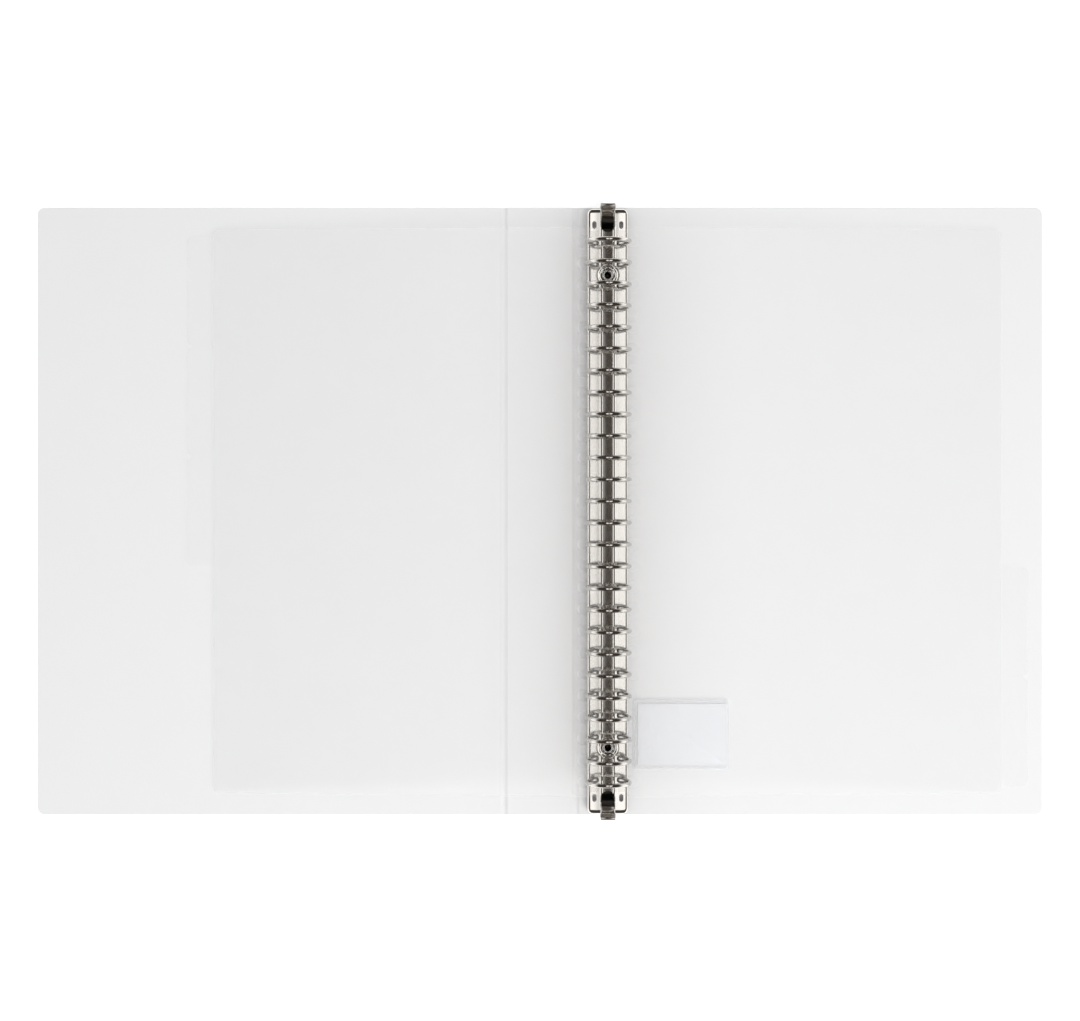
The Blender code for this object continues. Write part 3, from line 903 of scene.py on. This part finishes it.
# in the divider's own plane, from the ring side outwards, in millimetres
def dividerOutline(number):
    half = film["height"] / 2
    reach = film["reach"]
    corner = film["corner"]
    tab = film["tabCorner"]
    tabX = film["tabReach"] - tab
    length = 2 * (half - film["tabMargin"]) / film["count"]
    tabHigh = half - film["tabMargin"] - length * (number - 1)
    tabLow = tabHigh - length
    clearOfCorner = half - corner - 0.3
    points = [(film["ringEdge"], -half)]
    points += arc((reach - corner, corner - half), corner, -90, 0, 8)
    points.append((reach, max(tabLow, -clearOfCorner)))
    points += arc((tabX, tabLow + tab), tab, -90, 0, 10)
    points += arc((tabX, tabHigh - tab), tab, 0, 90, 10)
    points.append((reach, min(tabHigh, clearOfCorner)))
    points += arc((reach - corner, half - corner), corner, 0, 90, 8)
    points.append((film["ringEdge"], half))
    return points


# a flat mesh from an outer loop and the holes inside it
def filledLoops(name, loops):
    curve = bpy.data.curves.new(name, "CURVE")
    curve.dimensions = "2D"
    curve.fill_mode = "BOTH"
    for loop in loops:
        spline = curve.splines.new("POLY")
        spline.points.add(len(loop) - 1)
        for point, (x, y) in zip(spline.points, loop):
            point.co = (x * mm, y * mm, 0, 1)
        spline.use_cyclic_u = True
    guide = link(bpy.data.objects.new(name, curve))
    bpy.context.view_layer.update()
    graph = bpy.context.evaluated_depsgraph_get()
    mesh = bpy.data.meshes.new_from_object(guide.evaluated_get(graph))
    bpy.data.objects.remove(guide)
    return mesh


def makeDivider(number):
    node = f"divider_{number}"
    name = f"divider{number}"
    sides = film["holeSides"]
    loops = [dividerOutline(number)]
    for y in ringRows():
        centre = (film["holeCentre"], y)
        loops.append(arc(centre, film["holeRadius"], 0, 360 - 360 / sides, sides - 1))
    bm = bmesh.new()
    bm.from_mesh(filledLoops(name, loops))
    bmesh.ops.remove_doubles(bm, verts=bm.verts, dist=0.001 * mm)
    half = film["thickness"] / 2 * mm
    for loop in loops:
        walls = [[bm.verts.new((x * mm, y * mm, z)) for x, y in loop] for z in (-half, half)]
        for face in skinLoops(bm, walls, closeEnds=False):
            face.material_index = 1
    for face in bm.faces:
        face.smooth = False
    mesh = bpy.data.meshes.new(name)
    bm.to_mesh(mesh)
    bm.free()

    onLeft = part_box(node)[0].x < 0
    layer = film["layer"] * (film["count"] // 2 + 1 - number) * mm  # the middle one passes the rings' axis
    turn = Matrix.Rotation(math.radians(180 - film["tilt"] if onLeft else film["tilt"]), 4, "Y")
    mesh.transform(Matrix.Translation(ringAxis) @ turn @ Matrix.Translation((0, 0, layer)))
    mesh.materials.append(filmMaterial)
    mesh.materials.append(filmEdgeMaterial)
    place(name, mesh, filmMaterial, node, "divider_film", node)


for dividerNumber in range(1, film["count"] + 1):
    makeDivider(dividerNumber)
print("dividers made")


# the pocket welded to the back panel, with a blank card in it
label = {
    "colour": (0.775, 0.78, 0.795),
    "corner": 0.4,
    "edge": 0.05,
    "pocketCorner": 1.2,
    "filmThickness": 0.25,
    "filmEdge": 0.08,
    "filmHaze": 0.25,
    "filmColour": (0.93, 0.937, 0.95),
    "weldInset": 0.3,
    "weldWidth": 0.9,
    "weldEnds": 1.4,  # the short weld stops this far from the corners
    "mouthInset": 0.6,
    "weldLow": 1.01,
    "weldHigh": 1.12,
}


def makeCardMaterial():
    material, tree, output = newMaterial("plainCard")
    coordinates = addNode(tree, "ShaderNodeTexCoord")
    fibre = addNode(tree, "ShaderNodeTexNoise", {"Scale": 900.0, "Detail": 4.0})
    bump = addNode(tree, "ShaderNodeBump", {"Strength": 0.2, "Distance": 0.02 * mm})
    colour = (*label["colour"], 1)
    body = addNode(tree, "ShaderNodeBsdfPrincipled", {"Roughness": 0.8, "Base Color": colour})
    join(tree, coordinates, "Object", fibre, "Vector")
    join(tree, fibre, "Fac", bump, "Height")
    join(tree, bump, "Normal", body, "Normal")
    join(tree, body, "BSDF", output, "Surface")
    return material


def makeLabel():
    low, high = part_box("label_pocket")
    pocketMaterial = makeFilmMaterial("pocketFilm", label["filmHaze"], label["filmColour"])
    outline = roundedBox(low, high, label["pocketCorner"] * mm, 6)
    under = high.z - label["filmThickness"] * mm
    mesh = plateMesh("labelFilm", outline, under, high.z, label["filmEdge"] * mm)
    place("labelFilm", mesh, pocketMaterial, "back_cover", "divider_film", "label_pocket")

    inset = label["weldInset"] * mm
    width = label["weldWidth"] * mm
    ends = label["weldEnds"] * mm
    left = low.x + inset
    right = high.x - label["mouthInset"] * mm
    welds = [
        ((left, low.y + inset), (right, low.y + inset + width)),
        ((left, high.y - inset - width), (right, high.y - inset)),
        ((left, low.y + ends), (left + width, high.y - ends)),
    ]
    for number, (first, second) in enumerate(welds):
        outline = roundedBox(first, second, 0.3 * mm, 6)
        weldLow = label["weldLow"] * mm
        mesh = plateMesh(f"labelWeld{number}", outline, weldLow, label["weldHigh"] * mm, 0.04 * mm)
        place(mesh.name, mesh, filmEdgeMaterial, "back_cover", "divider_film")

    low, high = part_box("label_card")
    outline = roundedBox(low, high, label["corner"] * mm, 6)
    mesh = plateMesh("labelCard", outline, low.z, high.z, label["edge"] * mm)
    place("labelCard", mesh, makeCardMaterial(), "label_card", "label_card", "label_card")


makeLabel()
print("label made")


# floor, lamps, reflected strips, room and camera, in metres
studio = {
    "floorColour": (0.97, 0.97, 0.97),
    "floorGlow": 0.3,
    "floorHalf": 5.0,
    "key": {"power": 19.0, "place": (0.65, -0.95, 1.3), "size": 1.2},
    "fill": {"power": 1.5, "place": (-0.9, 0.5, 1.6), "size": 1.6},
    "ambient": 0.75,
    # the strips are seen by the metal alone, and each fades from its dark side to its bright side
    "leftStrip": {"left": -0.28, "right": 0.04, "turn": 0, "dark": 0.04, "bright": -0.15},
    "rightStrip": {"left": 0.20, "right": 0.50, "turn": -5, "dark": 0.20, "bright": 0.23},
    "strip": 1.28,
    "stripHeight": 1.5,
    "stripHalf": 0.9,
    "stripTint": (1.0, 0.985, 0.96),
    "wall": 1.4,
    "dim": (0.060, 0.047, 0.038),
    "lens": 65.1,
    "cameraPlace": (0, 0.0184, 0.87),
    "cameraShift": -0.0376,
}


def quadMesh(name, low, high):
    bm = bmesh.new()
    corners = [(low[0], low[1], 0), (high[0], low[1], 0), (high[0], high[1], 0), (low[0], high[1], 0)]
    bm.faces.new([bm.verts.new(corner) for corner in corners])
    mesh = bpy.data.meshes.new(name)
    bm.to_mesh(mesh)
    bm.free()
    return mesh


def makeFloor():
    half = studio["floorHalf"]
    mesh = quadMesh("floor", (-half, -half), (half, half))
    material, tree, output = newMaterial("floorPaint")
    paint = addNode(tree, "ShaderNodeBsdfDiffuse", {"Color": (*studio["floorColour"], 1)})
    lift = addNode(tree, "ShaderNodeEmission", {"Strength": studio["floorGlow"]})
    both = addNode(tree, "ShaderNodeAddShader")
    join(tree, paint, "BSDF", both, 0)
    join(tree, lift, "Emission", both, 1)
    join(tree, both, "Shader", output, "Surface")
    mesh.materials.append(material)
    floor = link(bpy.data.objects.new("floor", mesh))
    floor.location.z = -0.25 * mm


def makeStrip(name):
    strip = studio[name]
    half = studio["stripHalf"]
    mesh = quadMesh(name, (strip["left"], -half), (strip["right"], half))
    material, tree, output = newMaterial(name)
    coordinates = addNode(tree, "ShaderNodeTexCoord")
    parts = addNode(tree, "ShaderNodeSeparateXYZ")
    across = {"From Min": strip["dark"], "From Max": strip["bright"]}
    fade = addNode(tree, "ShaderNodeMapRange", {**across, "To Min": 0.0, "To Max": studio["strip"]})
    glow = addNode(tree, "ShaderNodeEmission", {"Color": (*studio["stripTint"], 1)})
    join(tree, coordinates, "Object", parts, "Vector")
    join(tree, parts, "X", fade, "Value")
    join(tree, fade, "Result", glow, "Strength")
    join(tree, glow, "Emission", output, "Surface")
    mesh.materials.append(material)
    panel = link(bpy.data.objects.new(name, mesh))
    panel.location.z = studio["stripHeight"]
    panel.rotation_euler.z = math.radians(strip["turn"])
    panel.visible_camera = False
    panel.visible_diffuse = False
    panel.visible_transmission = False
    panel.visible_volume_scatter = False
    panel.visible_shadow = False


def makeLamp(name):
    data = bpy.data.lights.new(name, "AREA")
    data.shape = "SQUARE"
    data.size = studio[name]["size"]
    data.energy = studio[name]["power"]
    lamp = link(bpy.data.objects.new(name, data))
    lamp.location = studio[name]["place"]
    lamp.rotation_euler = Vector(studio[name]["place"]).to_track_quat("Z", "Y").to_euler()
    lamp.visible_glossy = False


# The room: even light on everything. Metal sees a dim room with bright walls low on the left and right.
def makeRoom():
    world = bpy.data.worlds.new("studio")
    bpy.context.scene.world = world
    world.use_nodes = True
    tree = world.node_tree
    tree.nodes.clear()
    output = addNode(tree, "ShaderNodeOutputWorld")
    direction = addNode(tree, "ShaderNodeTexCoord")
    parts = addNode(tree, "ShaderNodeSeparateXYZ")
    rays = addNode(tree, "ShaderNodeLightPath")
    low = addNode(
        tree,
        "ShaderNodeMapRange",
        {"From Min": 0.25, "From Max": 0.55, "To Min": 1.0, "To Max": 0.0},
    )
    sideways = addNode(tree, "ShaderNodeMath", operation="ABSOLUTE")
    aside = addNode(tree, "ShaderNodeMapRange", {"From Min": 0.60, "From Max": 0.85})
    onWall = addNode(tree, "ShaderNodeMath", operation="MULTIPLY")
    wall = studio["wall"]
    room = addBlend(tree, studio["dim"], (wall, wall, wall * 0.98))
    seen = addNode(tree, "ShaderNodeMix", data_type="RGBA")
    even = studio["ambient"]
    seen.inputs["A"].default_value = (even, even, even, 1)
    backdrop = addNode(tree, "ShaderNodeMix", data_type="RGBA")
    backdrop.inputs["B"].default_value = (1, 1, 1, 1)
    glow = addNode(tree, "ShaderNodeBackground")
    join(tree, direction, "Generated", parts, "Vector")
    join(tree, parts, "Z", low, "Value")
    join(tree, parts, "X", sideways, 0)
    join(tree, sideways, "Value", aside, "Value")
    join(tree, low, "Result", onWall, 0)
    join(tree, aside, "Result", onWall, 1)
    join(tree, onWall, "Value", room, "Factor")
    join(tree, rays, "Is Glossy Ray", seen, "Factor")
    join(tree, room, "Result", seen, "B")
    join(tree, rays, "Is Camera Ray", backdrop, "Factor")
    join(tree, seen, "Result", backdrop, "A")
    join(tree, backdrop, "Result", glow, "Color")
    join(tree, glow, "Background", output, "Surface")


def makeCamera():
    data = bpy.data.cameras.new("camera")
    data.lens = studio["lens"]
    data.sensor_width = 36
    data.shift_y = studio["cameraShift"]
    camera = link(bpy.data.objects.new("camera", data))
    camera.location = studio["cameraPlace"]
    bpy.context.scene.camera = camera


makeFloor()
makeStrip("leftStrip")
makeStrip("rightStrip")
makeLamp("key")
makeLamp("fill")
makeRoom()
makeCamera()
bpy.context.scene.view_settings.view_transform = "Standard"
bpy.context.scene.cycles.transparent_max_bounces = 24
print("stage made")
